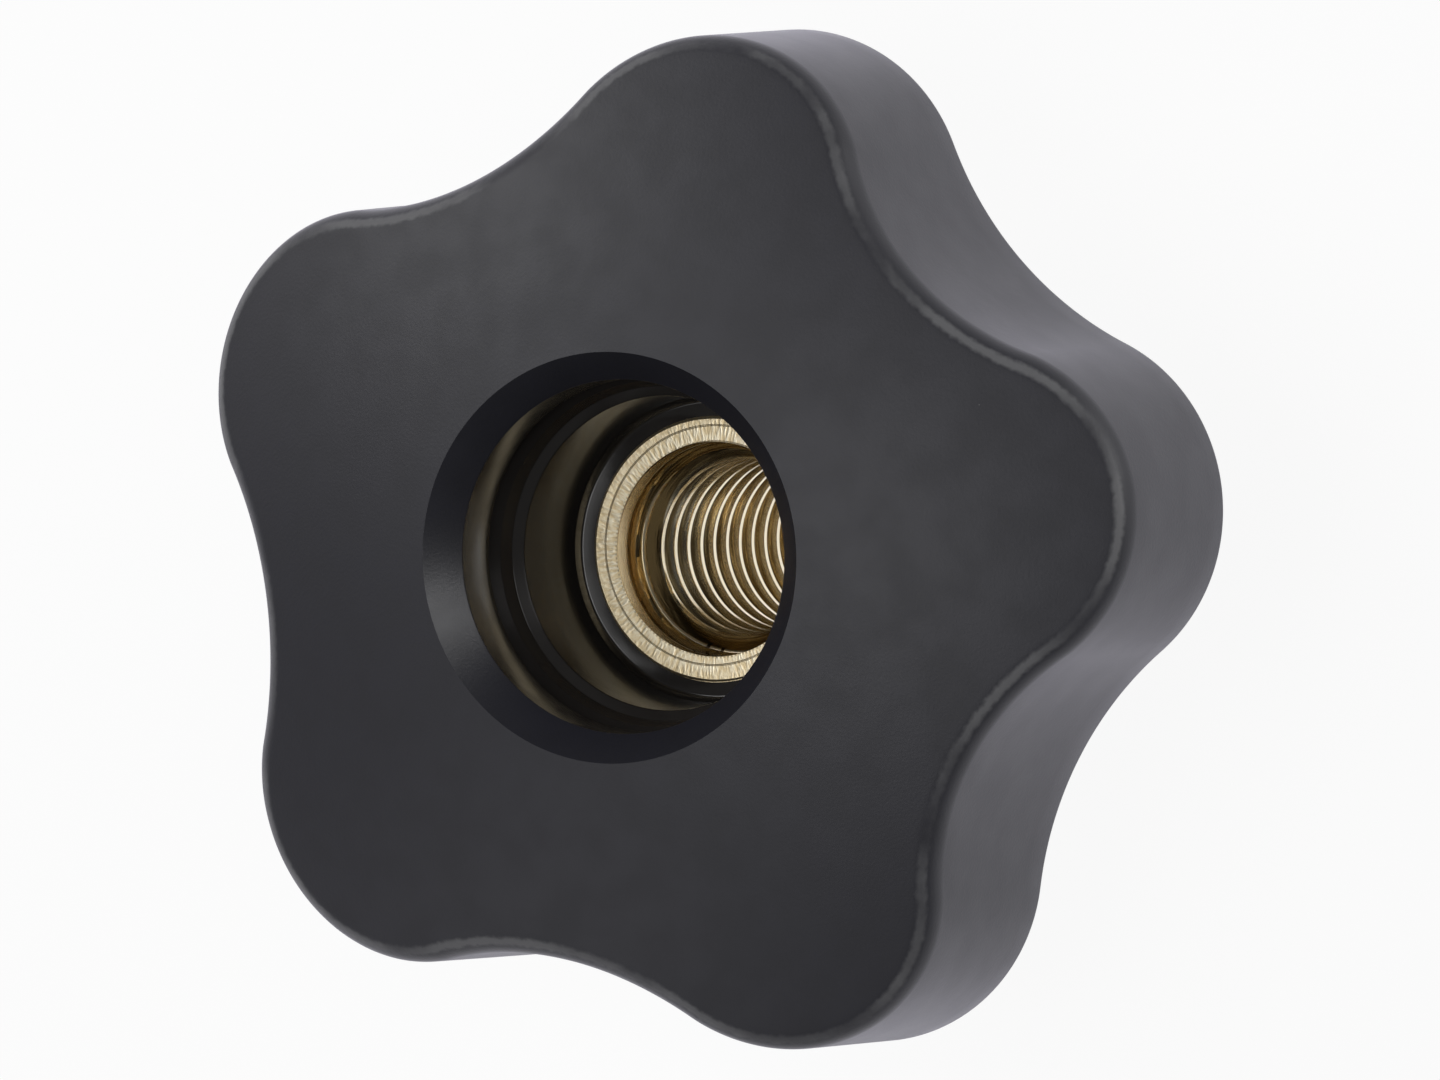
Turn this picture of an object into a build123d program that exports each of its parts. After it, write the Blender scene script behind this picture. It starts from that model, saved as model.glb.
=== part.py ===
"""Five-lobed star knob with a moulded-in, through-threaded brass insert.

Frame: millimetres, +Z up along the thread axis, origin where that axis meets the seating face of
the insert. The domed grip is at the top, and one lobe points along +X.
"""

from build123d import *

import os
from math import asin, atan2, cos, pi, sin, sqrt, tan

# Grip outlines, as (lobe tip radius, waist radius, lobe arc radius). The waists have more draft.
LOBES = 5
LOWER_OUTLINE = (25.0, 20.08, 8.68)    # where the side wall meets the underside
UPPER_OUTLINE = (24.48, 19.20, 8.12)   # at the level where the wall would end without the dome

# Grip heights and faces.
HEIGHT = 32.0                # seating face to the plane of the recess mouth
SIDE_WALL_BOTTOM = 16.7
SIDE_WALL_TOP = 33.7         # level of the upper outline, above the dome
DOME_RADIUS = 62.1
RIM_FILLET = 1.35
PARTING_EDGE_FILLET = 0.35

# Hub below the grip.
HUB_ROOT_RADIUS = 10.2
HUB_END_RADIUS = 9.2
HUB_END_Z = 0.3              # the insert stands this far proud of the plastic
HUB_ROOT_FILLET = 4.0
HUB_END_CHAMFER = 0.8

# Cap recess in the dome: radii, and depths below the plane of its mouth.
MOUTH_RADIUS = 9.62
UPPER_WALL_RADIUS = 8.30
GROOVE_RADIUS = 8.55
LIP_RADIUS = 8.15
SHELF_OUTER_RADIUS = 7.90
SHELF_INNER_RADIUS = 7.42
FLOOR_WALL_RADIUS = 7.25
FLOOR_EDGE_RADIUS = 7.05
MOUTH_CHAMFER_DEPTH = 1.57
GROOVE_TOP = 4.20
GROOVE_BOTTOM = 4.95
LIP_DEPTH = 5.45
SHELF_OUTER_DEPTH = 6.20
SHELF_INNER_DEPTH = 6.55
FLOOR_CORNER_DEPTH = 11.80
FLOOR_DEPTH = 12.20

# Brass insert.
INSERT_RADIUS = 6.35
INSERT_LENGTH = 20.0
INSERT_EDGE_CHAMFER = 0.15
THREAD_MINOR_RADIUS = 8.376 / 2    # M10 x 1.5
COUNTERBORE_RADIUS = 5.12          # at the recess end, wider than the thread's root
COUNTERBORE_DEPTH = 2.10
COUNTERSINK_RADIUS = 5.16          # at the seating face
KNURL_TEETH = 30
KNURL_DEPTH = 0.45
KNURL_FLANK = 42.0                 # degrees between a knurl flank and the radius
KNURL_BANDS = ((3.0, 8.2), (10.6, 15.8))   # bottom and top of each knurled band
BAND_GROOVE_DEPTH = 0.9

CUT_OVERLAP = 1.0            # how far a blank or a cut reaches past the face it meets


def tangent_waist_radius(tip, waist, lobe_arc):
    """Radius of the concave arc that touches both neighbouring lobe arcs."""
    lobe_centre = tip - lobe_arc
    half_turn = cos(pi / LOBES)
    numerator = lobe_arc**2 - lobe_centre**2 - waist**2 + 2 * lobe_centre * waist * half_turn
    return numerator / (2 * (waist - lobe_centre * half_turn - lobe_arc))


def polar(radius, angle):
    return Vector(radius * cos(angle), radius * sin(angle))


def grip_outline(tip, waist, lobe_arc):
    """Closed outline of convex lobe arcs and concave waist arcs, all tangent."""
    waist_arc = tangent_waist_radius(tip, waist, lobe_arc)
    lobe_centre = tip - lobe_arc
    waist_centre = waist + waist_arc
    share = lobe_arc / (lobe_arc + waist_arc)
    touch = polar(lobe_centre, 0) * (1 - share) + polar(waist_centre, pi / LOBES) * share
    touch_radius, touch_angle = touch.length, atan2(touch.Y, touch.X)
    edges = []
    for lobe in range(LOBES):
        middle = 2 * pi * lobe / LOBES
        low = polar(touch_radius, middle - touch_angle)
        high = polar(touch_radius, middle + touch_angle)
        after = polar(touch_radius, middle + 2 * pi / LOBES - touch_angle)
        edges.append(ThreePointArc(low, polar(tip, middle), high))
        edges.append(ThreePointArc(high, polar(waist, middle + pi / LOBES), after))
    return make_face(Wire(edges))


def revolved(points):
    """Solid of revolution about Z from (radius, height) corners."""
    return revolve(make_face(Polyline(*[(r, 0, z) for r, z in points], close=True)), Axis.Z)


def recess_profile():
    """Corners of the cap recess from the middle of its floor up to the mouth, as (x, y, z)."""
    corners = [
        (0, FLOOR_DEPTH),
        (FLOOR_EDGE_RADIUS, FLOOR_DEPTH),
        (FLOOR_WALL_RADIUS, FLOOR_CORNER_DEPTH),
        (SHELF_INNER_RADIUS, SHELF_INNER_DEPTH),
        (SHELF_OUTER_RADIUS, SHELF_OUTER_DEPTH),
        (LIP_RADIUS, LIP_DEPTH),
        (GROOVE_RADIUS, GROOVE_BOTTOM),
        (GROOVE_RADIUS, GROOVE_TOP + (GROOVE_RADIUS - UPPER_WALL_RADIUS)),
        (UPPER_WALL_RADIUS, GROOVE_TOP),
        (UPPER_WALL_RADIUS, MOUTH_CHAMFER_DEPTH),
        (MOUTH_RADIUS, 0),
    ]
    return [(radius, 0, HEIGHT - depth) for radius, depth in corners]


def turned_blank():
    """Everything under the spherical dome and outside the recess, wide enough to trim the lobes."""
    reach = LOWER_OUTLINE[0] + CUT_OVERLAP
    apex_drop = DOME_RADIUS - sqrt(DOME_RADIUS**2 - MOUTH_RADIUS**2)
    centre_z = HEIGHT + apex_drop - DOME_RADIUS
    mouth_angle, rim_angle = asin(MOUTH_RADIUS / DOME_RADIUS), asin(reach / DOME_RADIUS)

    def on_dome(angle):
        return (DOME_RADIUS * sin(angle), 0, centre_z + DOME_RADIUS * cos(angle))

    mouth, rim = on_dome(mouth_angle), on_dome(rim_angle)
    crown = ThreePointArc(mouth, on_dome((mouth_angle + rim_angle) / 2), rim)
    rest = Polyline(rim, (reach, 0, 0), (0, 0, 0), *recess_profile()[:-1], mouth)
    return revolve(make_face(Wire([crown, *rest.edges()])), Axis.Z)


def grip():
    """Lobed side wall under the dome, with the recess in it and both outer edges rounded."""
    lower = Pos(0, 0, SIDE_WALL_BOTTOM) * grip_outline(*LOWER_OUTLINE)
    upper = Pos(0, 0, SIDE_WALL_TOP) * grip_outline(*UPPER_OUTLINE)
    wall = loft([lower, upper], ruled=True)
    body = wall & turned_blank()
    dome = body.faces().sort_by(SortBy.AREA).filter_by(GeomType.SPHERE)[-1]
    rim = dome.edges().filter_by(GeomType.BSPLINE)
    body = fillet(rim, RIM_FILLET)
    underside = body.faces().sort_by(Axis.Z)[0]
    return fillet(underside.edges(), PARTING_EDGE_FILLET)


def hub():
    """Drafted hub under the grip, chamfered at its end and flared into the grip."""
    flare = HUB_ROOT_RADIUS + HUB_ROOT_FILLET
    corner = HUB_ROOT_FILLET * (1 - cos(pi / 4))
    top = SIDE_WALL_BOTTOM + CUT_OVERLAP
    start = (HUB_ROOT_RADIUS, 0, SIDE_WALL_BOTTOM - HUB_ROOT_FILLET)
    middle = (HUB_ROOT_RADIUS + corner, 0, SIDE_WALL_BOTTOM - corner)
    end = (flare, 0, SIDE_WALL_BOTTOM)
    sides = Polyline(
        end,
        (flare, 0, top),
        (0, 0, top),
        (0, 0, HUB_END_Z),
        (HUB_END_RADIUS - HUB_END_CHAMFER, 0, HUB_END_Z),
        (HUB_END_RADIUS, 0, HUB_END_Z + HUB_END_CHAMFER),
        start,
    )
    return revolve(make_face(Wire([ThreePointArc(start, middle, end), *sides.edges()])), Axis.Z)


def insert_blank():
    """Outside of the insert without its bore: a turned bar with two knurled bands."""
    root = INSERT_RADIUS - BAND_GROOVE_DEPTH
    (low_bottom, low_top), (high_bottom, high_top) = KNURL_BANDS
    bar = revolved(
        [
            (0, 0),
            (INSERT_RADIUS - INSERT_EDGE_CHAMFER, 0),
            (INSERT_RADIUS, INSERT_EDGE_CHAMFER),
            (INSERT_RADIUS, low_top),
            (root, low_top + BAND_GROOVE_DEPTH),
            (root, high_bottom - BAND_GROOVE_DEPTH),
            (INSERT_RADIUS, high_bottom),
            (INSERT_RADIUS, INSERT_LENGTH - INSERT_EDGE_CHAMFER),
            (INSERT_RADIUS - INSERT_EDGE_CHAMFER, INSERT_LENGTH),
            (0, INSERT_LENGTH),
        ]
    )
    mouth = INSERT_RADIUS + CUT_OVERLAP
    half_width = (KNURL_DEPTH + CUT_OVERLAP) * tan(KNURL_FLANK * pi / 180)
    corners = [(INSERT_RADIUS - KNURL_DEPTH, 0), (mouth, -half_width), (mouth, half_width)]
    notch = make_face(Polyline(*corners, close=True))
    cuts = []
    for bottom, top in KNURL_BANDS:
        for tooth in range(KNURL_TEETH):
            turned = Rot(0, 0, 360 * tooth / KNURL_TEETH) * notch
            cuts.append(extrude(Pos(0, 0, bottom) * turned, top - bottom))
    return bar - cuts


def insert_bore():
    """Bore at the thread's minor diameter, countersunk at the seat and counterbored at the top."""
    sink = COUNTERSINK_RADIUS - THREAD_MINOR_RADIUS
    shoulder = COUNTERBORE_RADIUS - THREAD_MINOR_RADIUS
    counterbore_bottom = INSERT_LENGTH - COUNTERBORE_DEPTH
    return revolved(
        [
            (0, -CUT_OVERLAP),
            (COUNTERSINK_RADIUS + CUT_OVERLAP, -CUT_OVERLAP),
            (THREAD_MINOR_RADIUS, sink),
            (THREAD_MINOR_RADIUS, counterbore_bottom - shoulder),
            (COUNTERBORE_RADIUS, counterbore_bottom),
            (COUNTERBORE_RADIUS, INSERT_LENGTH + CUT_OVERLAP),
            (0, INSERT_LENGTH + CUT_OVERLAP),
        ]
    )


def main():
    blank = insert_blank()
    nodes = {
        "knob_body": grip() + hub() - blank,
        "threaded_insert": blank - insert_bore(),
    }
    os.makedirs("parts", exist_ok=True)
    for name, shape in nodes.items():
        export_step(shape, f"parts/{name}.step")


main()
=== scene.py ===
"""Star knob in Blender: the moulded grip, its brass insert with a cut M10 thread, and the studio."""

import math

import bmesh
import bpy
import numpy as np
from mathutils import Matrix, Vector


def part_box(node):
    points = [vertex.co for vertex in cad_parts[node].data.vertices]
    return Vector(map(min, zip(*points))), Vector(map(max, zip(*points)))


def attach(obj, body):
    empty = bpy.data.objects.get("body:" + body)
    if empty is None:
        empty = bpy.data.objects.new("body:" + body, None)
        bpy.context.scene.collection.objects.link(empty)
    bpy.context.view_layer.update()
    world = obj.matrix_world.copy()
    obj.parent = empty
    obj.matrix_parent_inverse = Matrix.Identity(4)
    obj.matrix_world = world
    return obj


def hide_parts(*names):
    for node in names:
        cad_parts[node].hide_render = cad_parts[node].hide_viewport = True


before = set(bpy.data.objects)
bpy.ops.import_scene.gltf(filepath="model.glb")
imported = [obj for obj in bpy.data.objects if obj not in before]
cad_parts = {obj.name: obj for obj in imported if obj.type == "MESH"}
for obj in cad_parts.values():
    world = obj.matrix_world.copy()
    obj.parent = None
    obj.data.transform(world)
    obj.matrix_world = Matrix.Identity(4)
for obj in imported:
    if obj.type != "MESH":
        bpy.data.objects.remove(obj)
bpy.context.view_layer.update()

MM = 0.001    # the sizes below are in millimetres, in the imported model's frame

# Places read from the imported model.
BODY_LOW, BODY_HIGH = (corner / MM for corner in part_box("knob_body"))
INSERT_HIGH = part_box("threaded_insert")[1] / MM
MOUTH_Z = BODY_HIGH.z
HUB_END_Z = BODY_LOW.z
INSERT_TOP = INSERT_HIGH.z
INSERT_RADIUS = INSERT_HIGH.x

# Grip outlines, as (lobe tip radius, waist radius, lobe arc radius), and faces.
LOBES = 5
LOWER_OUTLINE = (25.0, 20.08, 8.68)
UPPER_OUTLINE = (24.48, 19.20, 8.12)
SIDE_WALL_BOTTOM = 16.7
SIDE_WALL_TOP = 33.7
DOME_RADIUS = 62.1
RIM_FILLET = 1.35
PARTING_EDGE_FILLET = 0.35

# Hub.
HUB_ROOT_RADIUS = 10.2
HUB_END_RADIUS = 9.2
HUB_ROOT_FILLET = 4.0
HUB_END_CHAMFER = 0.8

# Cap recess, as (radius, depth below the mouth, rounding of that corner).
MOUTH_RADIUS = 9.62
GLOSSY_DEPTH = 1.7      # below this the recess is smooth and glossy
RECESS = (
    (MOUTH_RADIUS, 0.0, 0),
    (8.30, 1.57, 0.10),
    (8.30, 4.20, 0.08),
    (8.55, 4.45, 0.08),
    (8.55, 4.95, 0.10),
    (8.15, 5.45, 0.25),
    (7.90, 6.20, 0.12),
    (7.42, 6.55, 0.12),
    (7.25, 11.80, 0.20),
    (7.05, 12.20, 0.15),
)
FLOOR_DEPTH = RECESS[-1][1]

# Brass insert.
EDGE_CHAMFER = 0.15
COUNTERBORE_RADIUS = 5.12
COUNTERBORE_DEPTH = 2.10
COUNTERSINK_RADIUS = 5.16
KNURL_TEETH = 30
KNURL_DEPTH = 0.45
KNURL_FLANK = math.radians(42)
KNURL_BANDS = ((3.0, 8.2), (10.6, 15.8))
BAND_GROOVE_DEPTH = 0.9

# Thread, M10 x 1.5, right hand.
PITCH = 1.5
MINOR_RADIUS = 8.376 / 2
MAJOR_RADIUS = 5.0
CREST_WIDTH = PITCH / 4
FLANK_SLOPE = 1 / math.tan(math.radians(30))
CREST_Z = 16.75                     # height of one crest
CREST_ANGLE = math.radians(101.6)   # where round the bore it has that height

BODY_COLUMNS = 720
INSERT_COLUMNS = 360


# ---------------------------------------------------------------- geometry helpers

def column_angles(columns):
    return np.arange(columns) * 2 * math.pi / columns


def circle(radius, z, angles):
    """One row of points at a radius and height, each a number or one value per column."""
    row = np.empty((len(angles), 3))
    row[:, 0] = radius * np.cos(angles)
    row[:, 1] = radius * np.sin(angles)
    row[:, 2] = z
    return row


def rounded(corners, steps=3):
    """Points along (r, z, rounding) corners, with every rounded corner turned into an arc."""
    points = [corners[0][:2]]
    for before, here, after in zip(corners, corners[1:], corners[2:]):
        at = Vector(here[:2])
        back = (Vector(before[:2]) - at).normalized()
        ahead = (Vector(after[:2]) - at).normalized()
        if not here[2]:
            points.append(tuple(at))
            continue
        half = back.angle(ahead) / 2
        reach = here[2] / math.tan(half)
        centre = at + (back + ahead).normalized() * here[2] / math.sin(half)
        start, end = at + back * reach - centre, at + ahead * reach - centre
        turn = start.angle(end)
        for i in range(steps + 1):
            share = i / steps
            arm = (start * math.sin((1 - share) * turn) + end * math.sin(share * turn)) / math.sin(turn)
            points.append(tuple(centre + arm))
    return points + [corners[-1][:2]]


def between(first, last, count):
    """Rows spaced evenly between two rows, both left out."""
    shares = np.arange(1, count + 1) / (count + 1)
    return [first * (1 - s) + last * s for s in shares]


def swept_arc(centre, radius, first, last, count):
    """Rows of a fillet: arcs about each centre from one unit normal to another, both included."""
    turn = np.arccos(np.clip((first * last).sum(1), -1, 1))[:, None]
    rows = []
    for share in np.linspace(0, 1, count):
        arm = (first * np.sin((1 - share) * turn) + last * np.sin(share * turn)) / np.sin(turn)
        rows.append(centre + radius * arm)
    return rows


def grid_faces(rows, columns, closed_rows):
    """Quads of a grid of rows that each close on themselves."""
    i = np.arange(rows if closed_rows else rows - 1)[:, None]
    j = np.arange(columns)[None, :]
    here, above = i * columns, (i + 1) % rows * columns
    beside = (j + 1) % columns
    quads = np.stack([here + j, here + beside, above + beside, above + j], axis=-1)
    return quads.reshape(-1, 4)


def make_object(name, points, faces, materials, face_material):
    """Mesh object in metres from points in millimetres."""
    mesh = bpy.data.meshes.new(name)
    mesh.from_pydata((points * MM).tolist(), [], faces.tolist())
    mesh.polygons.foreach_set("use_smooth", [True] * len(mesh.polygons))
    mesh.polygons.foreach_set("material_index", face_material)
    for material in materials:
        mesh.materials.append(material)
    mesh.update()
    made = bpy.data.objects.new(name, mesh)
    bpy.context.scene.collection.objects.link(made)
    return made


# ---------------------------------------------------------------- node helpers

def new_material(name):
    """Material with a Principled shader; returns it with its node tree and the shader."""
    material = bpy.data.materials.new(name)
    material.use_nodes = True
    tree = material.node_tree
    return material, tree, tree.nodes["Principled BSDF"]


def add_node(tree, kind, settings=None, **inputs):
    """Node with its settings and with inputs given as values or as other nodes' outputs."""
    node = tree.nodes.new(kind)
    for key, value in (settings or {}).items():
        setattr(node, key, value)
    for key, value in inputs.items():
        numbered = key[0] == "i" and key[1:].isdigit()
        socket = node.inputs[int(key[1:]) if numbered else key]
        if isinstance(value, bpy.types.NodeSocket):
            tree.links.new(value, socket)
        else:
            socket.default_value = value
    return node


def maths(tree, operation, *values):
    """Result of a Math node on values or outputs."""
    inputs = {f"i{index}": value for index, value in enumerate(values)}
    return add_node(tree, "ShaderNodeMath", {"operation": operation}, **inputs).outputs[0]


def ramp(tree, value, low, high, to_low=0.0, to_high=1.0):
    """Value carried smoothly from one range to another, and held at its ends."""
    limits = {"From Min": low, "From Max": high, "To Min": to_low, "To Max": to_high}
    settings = {"interpolation_type": "SMOOTHSTEP"}
    return add_node(tree, "ShaderNodeMapRange", settings, Value=value, **limits).outputs["Result"]


def blend(tree, share, first, second):
    """Colour between two colours or outputs."""
    node = add_node(tree, "ShaderNodeMix", {"data_type": "RGBA"})
    for index, value in ((0, share), (6, first), (7, second)):
        if isinstance(value, bpy.types.NodeSocket):
            tree.links.new(value, node.inputs[index])
        else:
            node.inputs[index].default_value = value if index == 0 else (*value, 1)
    return node.outputs[2]


def place_in_mm(tree):
    """Position in the model, in millimetres."""
    place = add_node(tree, "ShaderNodeTexCoord").outputs["Object"]
    settings = {"operation": "SCALE"}
    return add_node(tree, "ShaderNodeVectorMath", settings, Vector=place, Scale=1 / MM).outputs[0]


def polar_place(tree, place):
    """Radius, angle in radians and height of a position."""
    parts = add_node(tree, "ShaderNodeSeparateXYZ", Vector=place).outputs
    squares = [maths(tree, "MULTIPLY", part, part) for part in (parts[0], parts[1])]
    return maths(tree, "SQRT", maths(tree, "ADD", *squares)), maths(tree, "ARCTAN2", parts[1], parts[0]), parts[2]


def noise(tree, place, scale, detail=2.0):
    return add_node(tree, "ShaderNodeTexNoise", Vector=place, Scale=scale, Detail=detail).outputs["Fac"]


def joined(tree, x, y, z):
    return add_node(tree, "ShaderNodeCombineXYZ", X=x, Y=y, Z=z).outputs[0]


def spots(tree, place, scale, radius, share):
    """Mask of small round spots in a share of the cells of a scattered grid."""
    cells = add_node(tree, "ShaderNodeTexVoronoi", Vector=place, Scale=scale).outputs
    pick = add_node(tree, "ShaderNodeSeparateColor", Color=cells["Color"]).outputs[0]
    round_spot = ramp(tree, cells["Distance"], 0.5 * radius * scale, radius * scale, 1.0, 0.0)
    return maths(tree, "MULTIPLY", round_spot, maths(tree, "LESS_THAN", pick, share))


def nearest_angle(tree, angle, places, half_width):
    """Mask of narrow sectors at some angles."""
    sectors = 0.0
    for place in places:
        off = maths(tree, "ABSOLUTE", maths(tree, "SUBTRACT", angle, place))
        sectors = maths(tree, "MAXIMUM", sectors, maths(tree, "LESS_THAN", off, half_width))
    return sectors


# ---------------------------------------------------------------- materials

EDGE_ATTRIBUTE = "from_dome_edge"      # millimetres, positive on the dome
FACED_BRASS = (0.90, 0.74, 0.46)
# BRIGHT_BRASS is the light tone of the face's chatter streaks, and a painted highlight on the thread's crests and
# burr.
BRIGHT_BRASS = (1.0, 0.90, 0.68)
SHADED_BRASS = (0.36, 0.25, 0.11)
SCORED_BRASS = (0.90, 0.71, 0.38)
DULL_BRASS = (0.42, 0.32, 0.18)
FIRST_TURN_Z = 16.9     # the burr shows only above this height
BURR_RISE = 0.62        # height of the burr over the crest below it
BURR_CHIPS = (math.radians(174.6), math.radians(-176.4))
CHIP_SHADE = (0.06, 0.04, 0.02)
SPIRAL_RADIUS = 5.93    # where the tool line crosses angle 0
SPIRAL_FEED = 0.78      # its move inwards in one turn
BORE_EDGE_TEETH = 164.0
PLASTIC_IOR = 1.5
INSERT_WELD = 0.002     # millimetres within which points are joined
BODY_WELD = 0.0005


def textured_moulding(name, sheen, roughness):
    """Matt black moulded plastic: uneven sheen, fine grain, dust, and a lighter, broken line along the rim
    fillet.
    """
    material, tree, shader = new_material(name)
    shader.inputs["IOR"].default_value = PLASTIC_IOR
    shader.inputs["Sheen Weight"].default_value = sheen
    shader.inputs["Sheen Roughness"].default_value = 0.4
    shader.inputs["Sheen Tint"].default_value = (0.87, 0.84, 1.0, 1)
    place = place_in_mm(tree)
    mottle = noise(tree, place, 0.45, 4.0)
    from_edge = add_node(tree, "ShaderNodeAttribute", {"attribute_name": EDGE_ATTRIBUTE}).outputs["Fac"]
    # A lighter, ragged line along the start of the rim fillet, broken up by noise.
    ragged = maths(tree, "MULTIPLY", noise(tree, place, 2.6, 3.0), 0.3)
    off_line = maths(tree, "ABSOLUTE", maths(tree, "ADD", maths(tree, "ADD", from_edge, 0.27), ragged))
    line = ramp(tree, off_line, 0.08, 0.36, 1.0, 0.0)
    broken_rim_line = maths(tree, "MULTIPLY", line, ramp(tree, noise(tree, place, 0.16, 6.0), 0.28, 0.60))
    dust = spots(tree, place, 0.22, 0.07, 0.35)
    marks = maths(tree, "MAXIMUM", maths(tree, "MULTIPLY", broken_rim_line, 0.8), dust)
    tone = blend(tree, ramp(tree, mottle, 0.3, 0.7), (0.011, 0.011, 0.016), (0.014, 0.014, 0.020))
    tree.links.new(blend(tree, marks, tone, (0.13, 0.13, 0.135)), shader.inputs["Base Color"])
    rough = ramp(tree, mottle, 0.3, 0.7, roughness + 0.02, roughness - 0.02)
    tree.links.new(rough, shader.inputs["Roughness"])
    grain = maths(tree, "ADD", noise(tree, place, 7.0), maths(tree, "MULTIPLY", mottle, 1.5))
    bump = add_node(tree, "ShaderNodeBump", Strength=0.35, Distance=0.00002, Height=grain)
    tree.links.new(bump.outputs["Normal"], shader.inputs["Normal"])
    return material


def smooth_moulding():
    """The smoother plastic inside the recess, faintly wavy and a little greasy."""
    material, tree, shader = new_material("glossy_plastic")
    shader.inputs["IOR"].default_value = PLASTIC_IOR
    place = place_in_mm(tree)
    uneven = noise(tree, place, 0.5, 3.0)
    tone = blend(tree, uneven, (0.019, 0.017, 0.016), (0.026, 0.023, 0.021))
    tree.links.new(tone, shader.inputs["Base Color"])
    height = add_node(tree, "ShaderNodeSeparateXYZ", Vector=place).outputs[2]
    above_floor = ramp(tree, height, MOUTH_Z - FLOOR_DEPTH + 0.1, MOUTH_Z - FLOOR_DEPTH + 0.6, 0.4, 1.0)
    rough = maths(tree, "MULTIPLY", ramp(tree, uneven, 0.3, 0.7, 0.15, 0.22), above_floor)
    tree.links.new(rough, shader.inputs["Roughness"])
    bump = add_node(tree, "ShaderNodeBump", Strength=0.12, Distance=0.00003, Height=noise(tree, place, 0.9))
    tree.links.new(bump.outputs["Normal"], shader.inputs["Normal"])
    return material


def faced_brass():
    """Turned end and outside of the insert: a spiral tool line, radial chatter and a toothed bore edge."""
    material, tree, shader = new_material("face_brass")
    shader.inputs["Metallic"].default_value = 1.0
    place = place_in_mm(tree)
    radius, angle, height = polar_place(tree, place)
    turns = maths(tree, "DIVIDE", angle, 2 * math.pi)
    feeds = maths(tree, "DIVIDE", maths(tree, "SUBTRACT", radius, SPIRAL_RADIUS), SPIRAL_FEED)
    phase = maths(tree, "ADD", feeds, turns)
    off_spiral = maths(tree, "MULTIPLY", maths(tree, "PINGPONG", phase, 0.5), SPIRAL_FEED)
    tool_line = ramp(tree, off_spiral, 0.015, 0.05, 1.0, 0.0)
    along = joined(tree, maths(tree, "MULTIPLY", radius, 2.2), maths(tree, "MULTIPLY", angle, 42.0), height)
    chatter = noise(tree, along, 1.0, 3.0)
    fading = ramp(tree, radius, 5.6, 6.2, 1.0, 0.45)
    streaks = maths(tree, "MULTIPLY", ramp(tree, chatter, 0.40, 0.58), fading)
    off_tooth = maths(tree, "PINGPONG", maths(tree, "MULTIPLY", turns, BORE_EDGE_TEETH), 0.5)
    teeth = maths(tree, "GREATER_THAN", off_tooth, 0.26)
    edge = maths(tree, "MULTIPLY", ramp(tree, radius, 5.17, 5.22, 1.0, 0.0), teeth)
    dark = maths(tree, "MAXIMUM", maths(tree, "MULTIPLY", tool_line, 0.55), maths(tree, "MULTIPLY", edge, 0.7))
    tone = blend(tree, streaks, FACED_BRASS, BRIGHT_BRASS)
    tree.links.new(blend(tree, dark, tone, DULL_BRASS), shader.inputs["Base Color"])
    tree.links.new(ramp(tree, chatter, 0.3, 0.7, 0.52, 0.40), shader.inputs["Roughness"])
    relief = maths(tree, "SUBTRACT", chatter, maths(tree, "MULTIPLY", tool_line, 2.0))
    bump = add_node(tree, "ShaderNodeBump", Strength=0.8, Distance=0.00004, Height=relief)
    tree.links.new(bump.outputs["Normal"], shader.inputs["Normal"])
    return material


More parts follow.
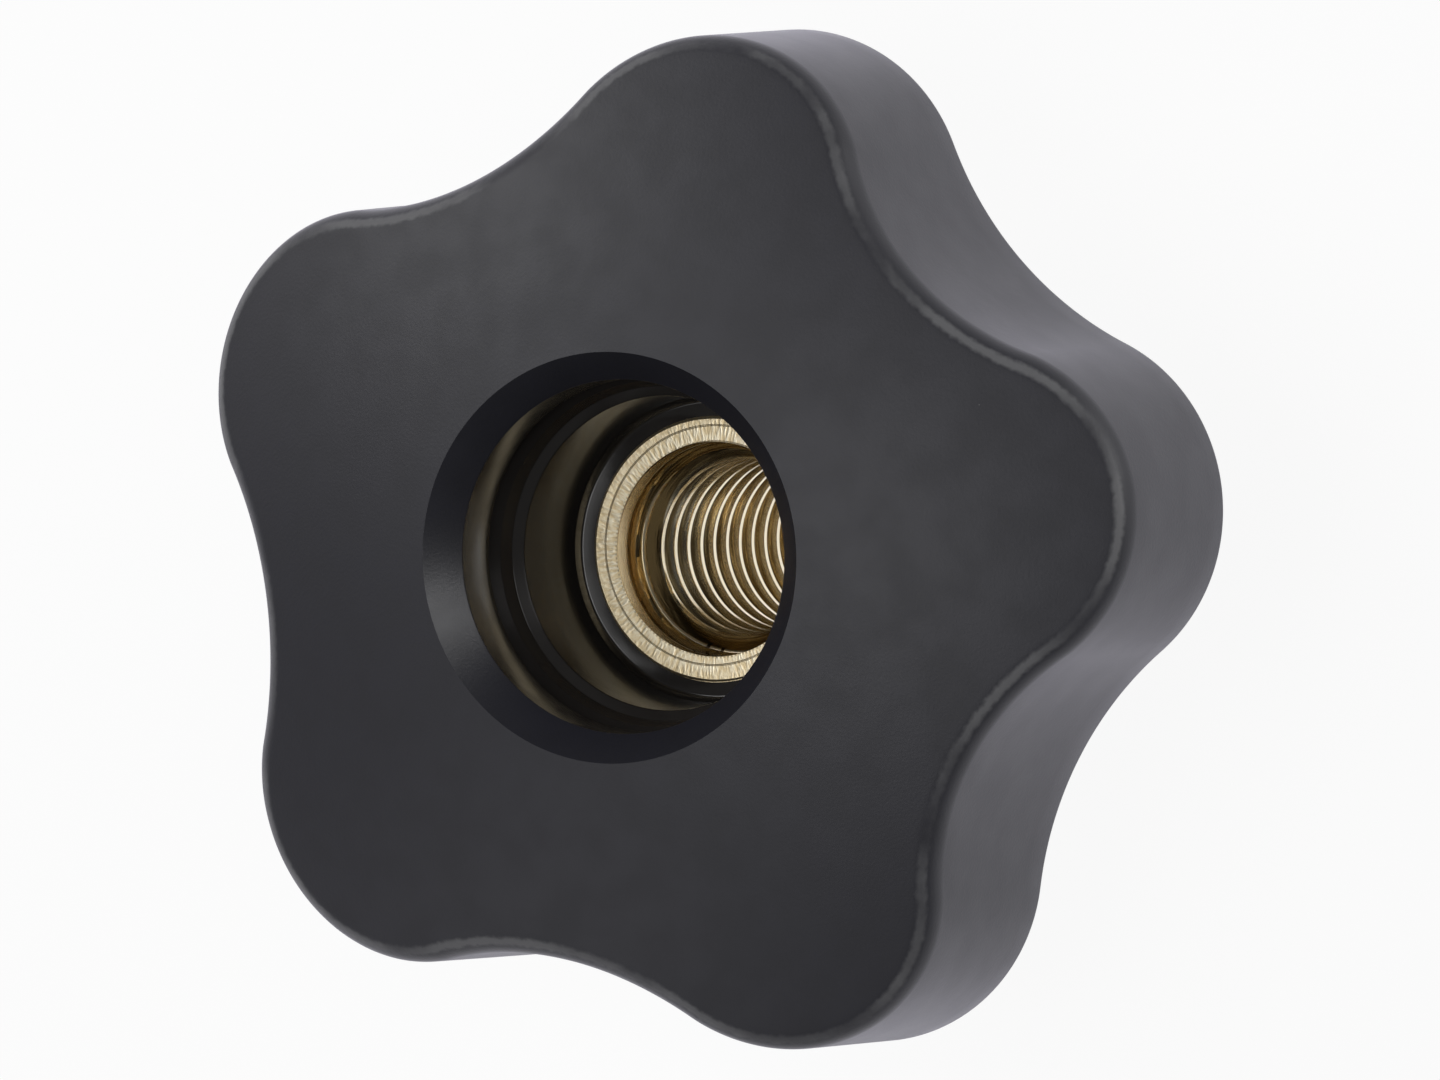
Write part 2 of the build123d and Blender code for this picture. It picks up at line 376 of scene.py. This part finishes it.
def tapped_brass():
    """Cut thread and counterbore: crests painted brighter as a highlight, over finely scored flanks painted
    darker as shade.
    """
    material, tree, shader = new_material("thread_brass")
    shader.inputs["Metallic"].default_value = 1.0
    place = place_in_mm(tree)
    radius, angle, height = polar_place(tree, place)
    stretch = [maths(tree, "MULTIPLY", *pair) for pair in ((angle, 0.8), (radius, 9.0), (height, 9.0))]
    along = joined(tree, *stretch)
    scoring = noise(tree, along, 1.0, 3.0)
    flank = ramp(tree, radius, MINOR_RADIUS + 0.05, MINOR_RADIUS + 0.25)
    # Painted shade: the flanks' scoring is mixed with a darker, shaded brass.
    tone = blend(tree, ramp(tree, scoring, 0.40, 0.66), SHADED_BRASS, SCORED_BRASS)
    bored = ramp(tree, radius, MAJOR_RADIUS + 0.03, COUNTERBORE_RADIUS - 0.02)
    # Painted highlight: the crests take the bright colour.
    cut = blend(tree, flank, BRIGHT_BRASS, blend(tree, bored, tone, FACED_BRASS))
    # The thread's first turn starts in a burr, which stands above a flank; the burr is a bump with a painted
    # highlight in a brighter colour, and the flank under it is painted darker as shade.
    lift = maths(tree, "MULTIPLY", maths(tree, "SUBTRACT", angle, CREST_ANGLE), PITCH / (2 * math.pi))
    above_crest = maths(tree, "SUBTRACT", maths(tree, "SUBTRACT", height, CREST_Z), lift)
    first_turn = maths(tree, "GREATER_THAN", height, FIRST_TURN_Z)
    off_burr = maths(tree, "WRAP", maths(tree, "SUBTRACT", above_crest, BURR_RISE), PITCH / 2, -PITCH / 2)
    on_burr = ramp(tree, maths(tree, "ABSOLUTE", off_burr), 0.02, 0.075, 1.0, 0.0)
    burr_and_glint = maths(tree, "MULTIPLY", on_burr, first_turn)
    # Painted shade: the flank under the burr is darkened.
    dark_from = ramp(tree, off_burr, -0.46, -0.38)
    dark_to = ramp(tree, off_burr, -0.06, -0.02, 1.0, 0.0)
    dark = maths(tree, "MULTIPLY", maths(tree, "MULTIPLY", dark_from, dark_to), first_turn)
    shaded = blend(tree, dark, cut, SHADED_BRASS)
    # Painted shade: near-black spots where the burr is chipped.
    chipped = maths(tree, "LESS_THAN", maths(tree, "ABSOLUTE", off_burr), 0.11)
    shaded_chips = maths(tree, "MULTIPLY", chipped, nearest_angle(tree, angle, BURR_CHIPS, 0.018))
    # Painted highlight: the burr takes the bright colour.
    edged = blend(tree, burr_and_glint, shaded, BRIGHT_BRASS)
    tree.links.new(blend(tree, shaded_chips, edged, CHIP_SHADE), shader.inputs["Base Color"])
    by_flank = ramp(tree, flank, 0.0, 1.0, 0.16, 0.24)
    roughness = maths(tree, "SUBTRACT", by_flank, maths(tree, "MULTIPLY", dark, 0.12))
    roughness = maths(tree, "MAXIMUM", roughness, maths(tree, "MULTIPLY", burr_and_glint, 0.5))
    tree.links.new(roughness, shader.inputs["Roughness"])
    relief = maths(tree, "ADD", scoring, maths(tree, "MULTIPLY", burr_and_glint, 5.0))
    bump = add_node(tree, "ShaderNodeBump", Strength=0.5, Distance=0.00002, Height=relief)
    tree.links.new(bump.outputs["Normal"], shader.inputs["Normal"])
    return material


textured_plastic = textured_moulding("textured_plastic", 0.5, 0.5)
chamfer_plastic = textured_moulding("chamfer_plastic", 0.0, 0.40)
glossy_plastic = smooth_moulding()
face_brass = faced_brass()
thread_brass = tapped_brass()


# ---------------------------------------------------------------- insert

def knurled_radius(angles):
    """Radius of the knurled bands of the insert at each angle."""
    spacing = 2 * math.pi / KNURL_TEETH
    off_notch = np.abs((angles + spacing / 2) % spacing - spacing / 2) * INSERT_RADIUS
    return INSERT_RADIUS - np.maximum(0, KNURL_DEPTH - off_notch / math.tan(KNURL_FLANK))


def insert_outside(angles, low, high):
    """Rows up the outside of the insert between two heights."""
    (low_bottom, low_top), (high_bottom, high_top) = KNURL_BANDS
    root = INSERT_RADIUS - BAND_GROOVE_DEPTH
    knurls = knurled_radius(angles)
    heights = [
        (INSERT_RADIUS, low), (INSERT_RADIUS, low_bottom), (knurls, low_bottom), (knurls, low_top),
        (root, low_top + BAND_GROOVE_DEPTH), (root, high_bottom - BAND_GROOVE_DEPTH),
        (knurls, high_bottom), (knurls, high_top), (INSERT_RADIUS, high_top), (INSERT_RADIUS, high),
    ]
    return [circle(radius, z, angles) for radius, z in heights]


def bore_radius(angles, z):
    """Radius of the bore: the thread, opened by the counterbore above and the countersink below."""
    crest = CREST_Z + PITCH * (angles - CREST_ANGLE) / (2 * math.pi)
    off_crest = np.abs((z - crest + PITCH / 2) % PITCH - PITCH / 2)
    thread = MINOR_RADIUS + FLANK_SLOPE * np.clip(off_crest - CREST_WIDTH / 2, 0, None)
    thread = np.minimum(thread, MAJOR_RADIUS)
    shoulder = z - (INSERT_TOP - COUNTERBORE_DEPTH) + COUNTERBORE_RADIUS
    counterbore = np.minimum(shoulder, COUNTERBORE_RADIUS)
    countersink = COUNTERSINK_RADIUS - z
    return np.maximum(np.maximum(thread, counterbore), countersink)


def threaded_insert():
    """The insert as one closed mesh, with its rows of the bore following the thread's helix."""
    angles = column_angles(INSERT_COLUMNS)
    chamfered = INSERT_RADIUS - EDGE_CHAMFER
    rows = [circle(COUNTERSINK_RADIUS, 0, angles), circle(chamfered, 0, angles)]
    rows += insert_outside(angles, EDGE_CHAMFER, INSERT_TOP - EDGE_CHAMFER)
    rows += [circle(chamfered, INSERT_TOP, angles), circle(COUNTERBORE_RADIUS, INSERT_TOP, angles)]
    outer_points, outer_faces = np.concatenate(rows), grid_faces(len(rows), INSERT_COLUMNS, False)

    steps = (0.04, 0.105, 0.14, 0.24, 0.34, 0.42, 0.47)
    turn = np.array([-s for s in reversed(steps)] + list(steps)) * PITCH
    turns = range(-math.ceil(CREST_Z / PITCH) - 2, math.ceil((INSERT_TOP - CREST_Z) / PITCH) + 2)
    levels = np.concatenate([CREST_Z + n * PITCH + turn for n in turns])
    lift = PITCH * (angles - CREST_ANGLE) / (2 * math.pi)
    bore = []
    for level in levels:
        z = np.clip(level + lift, 0, INSERT_TOP)
        bore.append(circle(bore_radius(angles, z), z, angles))
    bore = np.concatenate(bore)
    per_turn = len(turn)
    count = len(levels)
    i = np.arange(count)[:, None]
    j = np.arange(INSERT_COLUMNS)[None, :]
    # The last column joins the first one a turn further up the helix.
    last = j == INSERT_COLUMNS - 1
    beside = (j + 1) % INSERT_COLUMNS
    shift = np.where(last, per_turn, 0)
    inside = i + 1 + shift < count
    quads = np.stack(
        np.broadcast_arrays(
            i * INSERT_COLUMNS + j,
            (i + 1) * INSERT_COLUMNS + j,
            (i + 1 + shift) * INSERT_COLUMNS + beside,
            (i + shift) * INSERT_COLUMNS + beside,
        ),
        axis=-1,
    )[inside]
    offset = len(outer_points)
    points = np.concatenate([outer_points, bore])
    faces = np.concatenate([outer_faces, quads + offset])
    kinds = np.concatenate([np.zeros(len(outer_faces), int), np.ones(len(quads), int)])
    return points, faces, kinds


def weld(made, distance):
    """Joins coincident points and drops the faces that collapse."""
    work = bmesh.new()
    work.from_mesh(made.data)
    bmesh.ops.remove_doubles(work, verts=work.verts, dist=distance)
    bmesh.ops.dissolve_degenerate(work, edges=work.edges, dist=distance)
    loose = [v for v in work.verts if not v.link_faces]
    bmesh.ops.delete(work, geom=loose, context="VERTS")
    work.to_mesh(made.data)
    work.free()


insert_points, insert_faces, insert_kinds = threaded_insert()
insert = make_object("brass_insert", insert_points, insert_faces, [face_brass, thread_brass], insert_kinds)
weld(insert, INSERT_WELD * MM)
insert.data.set_sharp_from_angle(angle=math.radians(30))
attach(insert, "root")
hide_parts("threaded_insert")


# ---------------------------------------------------------------- knob body

def grip_outline(angles, tip, waist, lobe_arc):
    """Points and outward normals of an outline of the grip, in the plane z = 0."""
    sector = 2 * math.pi / LOBES
    lobe_centre = tip - lobe_arc
    half_turn = math.cos(sector / 2)
    numerator = lobe_arc**2 - lobe_centre**2 - waist**2 + 2 * lobe_centre * waist * half_turn
    waist_arc = numerator / (2 * (waist - lobe_centre * half_turn - lobe_arc))
    waist_centre = waist + waist_arc

    lobe_axis = np.round(angles / sector) * sector
    off_lobe = angles - lobe_axis
    waist_axis = lobe_axis + np.where(off_lobe < 0, -0.5, 0.5) * sector
    off_waist = angles - waist_axis
    lobe_reach = lobe_arc**2 - (lobe_centre * np.sin(off_lobe)) ** 2
    on_lobe = lobe_centre * np.cos(off_lobe) + np.sqrt(np.maximum(lobe_reach, 0))
    waist_reach = waist_arc**2 - (waist_centre * np.sin(off_waist)) ** 2
    on_waist = waist_centre * np.cos(off_waist) - np.sqrt(np.maximum(waist_reach, 0))

    share = lobe_arc / (lobe_arc + waist_arc)
    touch_x = lobe_centre * (1 - share) + waist_centre * math.cos(sector / 2) * share
    touch_y = waist_centre * math.sin(sector / 2) * share
    lobed = np.abs(off_lobe) <= math.atan2(touch_y, touch_x)
    points = circle(np.where(lobed, on_lobe, on_waist), 0, angles)
    from_lobe = (points - circle(lobe_centre, 0, lobe_axis)) / lobe_arc
    to_waist = (circle(waist_centre, 0, waist_axis) - points) / waist_arc
    return points, np.where(lobed[:, None], from_lobe, to_waist)


def knob_body():
    """The body as one closed mesh, and how far each point is from the edge of the dome."""
    angles = column_angles(BODY_COLUMNS)
    lower, outward = grip_outline(angles, *LOWER_OUTLINE)
    upper, _ = grip_outline(angles, *UPPER_OUTLINE)
    up = np.array([0.0, 0.0, 1.0])
    lean = ((lower - upper) * outward).sum(1) / (SIDE_WALL_TOP - SIDE_WALL_BOTTOM)
    slant = np.sqrt(1 + lean**2)
    wall_normal = (outward + lean[:, None] * up) / slant[:, None]

    def inside_wall(inset, z):
        """Points at a height, set back from the drafted wall by a distance across it."""
        back = inset * slant + (z - SIDE_WALL_BOTTOM) * lean
        return lower - outward * back[:, None] + np.reshape(z, (-1, 1)) * up

    # Underside and hub, from the insert outwards.
    flare_steps = 10
    hub_profile = rounded(
        [
            (INSERT_RADIUS, HUB_END_Z, 0),
            (HUB_END_RADIUS - HUB_END_CHAMFER, HUB_END_Z, 0.1),
            (HUB_END_RADIUS, HUB_END_Z + HUB_END_CHAMFER, 0.1),
            (HUB_ROOT_RADIUS, SIDE_WALL_BOTTOM - HUB_ROOT_FILLET, 0),
        ]
    )
    hub_profile.pop()
    for step in range(flare_steps + 1):
        turn = math.pi / 2 * step / flare_steps
        hub_profile.append(
            (
                HUB_ROOT_RADIUS + HUB_ROOT_FILLET * (1 - math.cos(turn)),
                SIDE_WALL_BOTTOM - HUB_ROOT_FILLET * (1 - math.sin(turn)),
            )
        )
    rows = [circle(radius, z, angles) for radius, z in hub_profile]

    # Lower edge and side wall.
    low_centre = inside_wall(PARTING_EDGE_FILLET, SIDE_WALL_BOTTOM + PARTING_EDGE_FILLET)
    down = np.tile(-up, (BODY_COLUMNS, 1))
    lower_edge = swept_arc(low_centre, PARTING_EDGE_FILLET, down, wall_normal, 6)
    rows += between(rows[-1], lower_edge[0], 4) + lower_edge

    # The rim fillet's centres lie one fillet radius inside both the wall and the dome.
    dome_centre_z = MOUTH_Z - math.sqrt(DOME_RADIUS**2 - MOUTH_RADIUS**2)
    rim_z = np.full(BODY_COLUMNS, MOUTH_Z)
    for _ in range(30):
        centre = inside_wall(RIM_FILLET, rim_z)
        off_axis = np.hypot(centre[:, 0], centre[:, 1])
        rim_z = dome_centre_z + np.sqrt((DOME_RADIUS - RIM_FILLET) ** 2 - off_axis**2)
    centre = inside_wall(RIM_FILLET, rim_z)
    dome_normal = (centre - dome_centre_z * up) / (DOME_RADIUS - RIM_FILLET)
    rim = swept_arc(centre, RIM_FILLET, wall_normal, dome_normal, 13)
    rows += between(lower_edge[-1], rim[0], 6) + rim
    dome_edge = len(rows) - 1

    # Dome, from the rim to the mouth.
    mouth = circle(MOUTH_RADIUS, 0, angles)
    for share in (0.02, 0.04, 0.07, *np.linspace(0.12, 1, 12)):
        flat = rim[-1] * (1 - share) + mouth * share
        height = dome_centre_z + np.sqrt(DOME_RADIUS**2 - flat[:, 0] ** 2 - flat[:, 1] ** 2)
        rows.append(np.column_stack([flat[:, 0], flat[:, 1], height]))
    recess = rounded([*RECESS, (INSERT_RADIUS, FLOOR_DEPTH, 0)])[1:]
    first_chamfer_row = len(rows) - 1
    first_glossy_row = first_chamfer_row + sum(depth < GLOSSY_DEPTH for _, depth in recess)
    rows += [circle(radius, MOUTH_Z - depth, angles) for radius, depth in recess]
    rows += insert_outside(angles, HUB_END_Z, MOUTH_Z - FLOOR_DEPTH)[::-1][1:-1]

    steps = np.linalg.norm(np.diff(rows, axis=0), axis=2)
    travelled = np.concatenate([np.zeros((1, BODY_COLUMNS)), np.cumsum(steps, axis=0)])
    from_edge = (travelled - travelled[dome_edge]).ravel()
    faces = grid_faces(len(rows), BODY_COLUMNS, True)
    kinds = np.zeros(len(faces), int)
    kinds[first_chamfer_row * BODY_COLUMNS:] = 1
    kinds[first_glossy_row * BODY_COLUMNS:] = 2
    return np.concatenate(rows), faces, kinds, from_edge


body_points, body_faces, body_kinds, body_from_edge = knob_body()
body_materials = [textured_plastic, chamfer_plastic, glossy_plastic]
body = make_object("moulded_knob_body", body_points, body_faces, body_materials, body_kinds)
body.data.attributes.new(EDGE_ATTRIBUTE, "FLOAT", "POINT").data.foreach_set("value", body_from_edge)
weld(body, BODY_WELD * MM)
body.data.set_sharp_from_angle(angle=math.radians(35))
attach(body, "root")
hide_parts("knob_body")


# ---------------------------------------------------------------- camera

# The camera looks at a point on the plane of the mouth, from an azimuth and elevation round it.
CAMERA_AIM = Vector((1.970, -5.461, MOUTH_Z))
CAMERA_AZIMUTH = math.radians(15.745)
CAMERA_ELEVATION = math.radians(65.521)
CAMERA_ROLL = math.radians(-94.589)
CAMERA_DISTANCE = 578.8
CAMERA_LENS = 311.3
SENSOR_WIDTH = 36.0


def add_camera():
    level = math.cos(CAMERA_ELEVATION)
    back = Vector(
        (
            math.sin(CAMERA_AZIMUTH) * level,
            -math.cos(CAMERA_AZIMUTH) * level,
            math.sin(CAMERA_ELEVATION),
        )
    )
    data = bpy.data.cameras.new("camera")
    data.lens = CAMERA_LENS
    data.sensor_width = SENSOR_WIDTH
    data.clip_start, data.clip_end = 0.01, 20.0
    made = bpy.data.objects.new("camera", data)
    bpy.context.scene.collection.objects.link(made)
    turn = (-back).to_track_quat("-Z", "Y").to_matrix() @ Matrix.Rotation(CAMERA_ROLL, 3, "Z")
    made.matrix_world = Matrix.Translation((CAMERA_AIM + back * CAMERA_DISTANCE) * MM) @ turn.to_4x4()
    bpy.context.scene.camera = made


add_camera()


# ---------------------------------------------------------------- studio

LAMP_DISTANCE = 0.6
LAMP_SIZE = 0.3


def softbox(name, azimuth, elevation, level):
    """Square lamp aimed at the knob; level is the radiance of its face, where 1 is white."""
    azimuth, elevation = math.radians(azimuth), math.radians(elevation)
    across = math.cos(elevation)
    towards = Vector((math.cos(azimuth) * across, math.sin(azimuth) * across, math.sin(elevation)))
    data = bpy.data.lights.new(name, "AREA")
    data.size = LAMP_SIZE
    data.energy = level * math.pi * LAMP_SIZE**2
    made = bpy.data.objects.new(name, data)
    bpy.context.scene.collection.objects.link(made)
    made.location = Vector((0, 0, MOUTH_Z / 2)) * MM + towards * LAMP_DISTANCE
    made.visible_camera = False
    made.rotation_mode = "QUATERNION"
    made.rotation_quaternion = (-towards).to_track_quat("-Z", "Y")


WORLD_LEVEL = 0.16
FLOOR_SHOWN = 0.92      # share of the floor that is plain white for the camera
FLOOR_SEEN = 0.8        # and in reflections

softbox("top", 0, 90, 3.3)
softbox("back", 62, 40, 4.4)
softbox("low_side", 304, 14, 4.7)
softbox("fill", 150, 42, 1.2)


def add_world():
    """White for the camera, and a plain grey fill for everything else."""
    world = bpy.data.worlds.new("studio")
    bpy.context.scene.world = world
    world.use_nodes = True
    tree = world.node_tree
    background = tree.nodes["Background"]
    light_path = add_node(tree, "ShaderNodeLightPath")
    level = add_node(tree, "ShaderNodeMapRange", **{"To Min": WORLD_LEVEL, "To Max": 1.0})
    tree.links.new(light_path.outputs["Is Camera Ray"], level.inputs["Value"])
    background.inputs["Color"].default_value = (1, 1, 1, 1)
    tree.links.new(level.outputs["Result"], background.inputs["Strength"])


def add_floor():
    """White floor that glows a little for the camera, and for glossy rays, and keeps a soft shadow."""
    bpy.ops.mesh.primitive_plane_add(size=8, location=(0, 0, 0))
    floor = bpy.context.object
    floor.name = "floor"
    material, tree, shader = new_material("white_floor")
    tree.nodes.remove(shader)
    out = tree.nodes["Material Output"]
    path = add_node(tree, "ShaderNodeLightPath")
    diffuse = add_node(tree, "ShaderNodeBsdfDiffuse", Color=(0.9, 0.9, 0.9, 1))
    white = add_node(tree, "ShaderNodeEmission", Color=(1, 1, 1, 1), Strength=1.0)
    shown = maths(tree, "MULTIPLY", path.outputs["Is Camera Ray"], FLOOR_SHOWN)
    seen = maths(tree, "MULTIPLY", path.outputs["Is Glossy Ray"], FLOOR_SEEN)
    amount = maths(tree, "MAXIMUM", shown, seen)
    mixed = add_node(tree, "ShaderNodeMixShader", i0=amount, i1=diffuse.outputs[0], i2=white.outputs[0])
    clear = add_node(tree, "ShaderNodeBsdfTransparent")
    back = add_node(tree, "ShaderNodeNewGeometry").outputs["Backfacing"]
    final = add_node(tree, "ShaderNodeMixShader", i0=back, i1=mixed.outputs[0], i2=clear.outputs[0])
    tree.links.new(final.outputs[0], out.inputs["Surface"])
    floor.data.materials.append(material)


add_world()
add_floor()
bpy.context.scene.view_settings.view_transform = "Standard"
